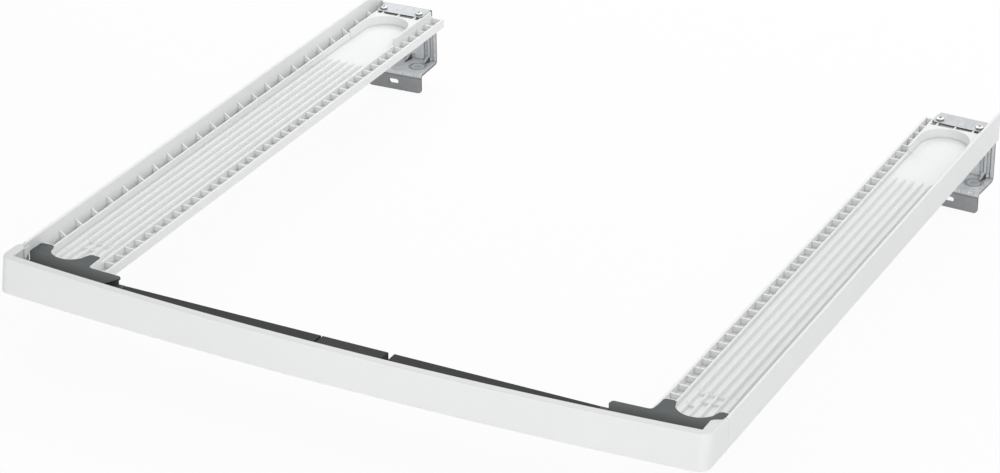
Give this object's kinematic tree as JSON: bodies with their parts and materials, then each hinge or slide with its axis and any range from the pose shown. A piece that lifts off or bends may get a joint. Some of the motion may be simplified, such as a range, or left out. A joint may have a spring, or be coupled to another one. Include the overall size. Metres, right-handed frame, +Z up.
{
  "type": "washer dryer stacking kit",
  "caption": "Open frame that locks a tumble dryer on top of a washing machine: ribbed side rails with foot wells, cross bar, foot stops, bowed front trim and hooked rear brackets.",
  "frame": {"origin": "under the middle of the front cross bar, on the plane of the washing machine's worktop", "axes": "+X to the right seen from the front, +Y from the front trim to the rear brackets, +Z up from the worktop"},
  "size_m": [0.598, 0.6173, 0.0841],
  "materials": {
    "white_plastic": "cool white moulded plastic with a fine satin surface",
    "dark_plastic": "dark grey moulded plastic with a fine spark-eroded grain",
    "zinc_steel": "zinc-plated folded sheet steel",
    "bright_steel": "bright zinc-plated screws",
    "grey_foam": "dark grey rubber foam"
  },
  "bodies": {
    "root": {"front_trim": "white_plastic", "left_rail": "white_plastic", "right_rail": "white_plastic", "left_cross_bar": "dark_plastic", "right_cross_bar": "dark_plastic", "cross_bar_joiner": "dark_plastic", "left_foot_stop": "dark_plastic", "right_foot_stop": "dark_plastic", "left_bracket": "zinc_steel", "right_bracket": "zinc_steel", "left_inner_bracket_screw": "bright_steel", "left_inner_stop_screw": "bright_steel", "left_outer_bracket_screw": "bright_steel", "left_outer_stop_screw": "bright_steel", "left_front_grip_pad": "grey_foam", "left_rear_grip_pad": "grey_foam", "right_inner_bracket_screw": "bright_steel", "right_inner_stop_screw": "bright_steel", "right_outer_bracket_screw": "bright_steel", "right_outer_stop_screw": "bright_steel", "right_front_grip_pad": "grey_foam", "right_rear_grip_pad": "grey_foam"}
  },
  "joints": []
}
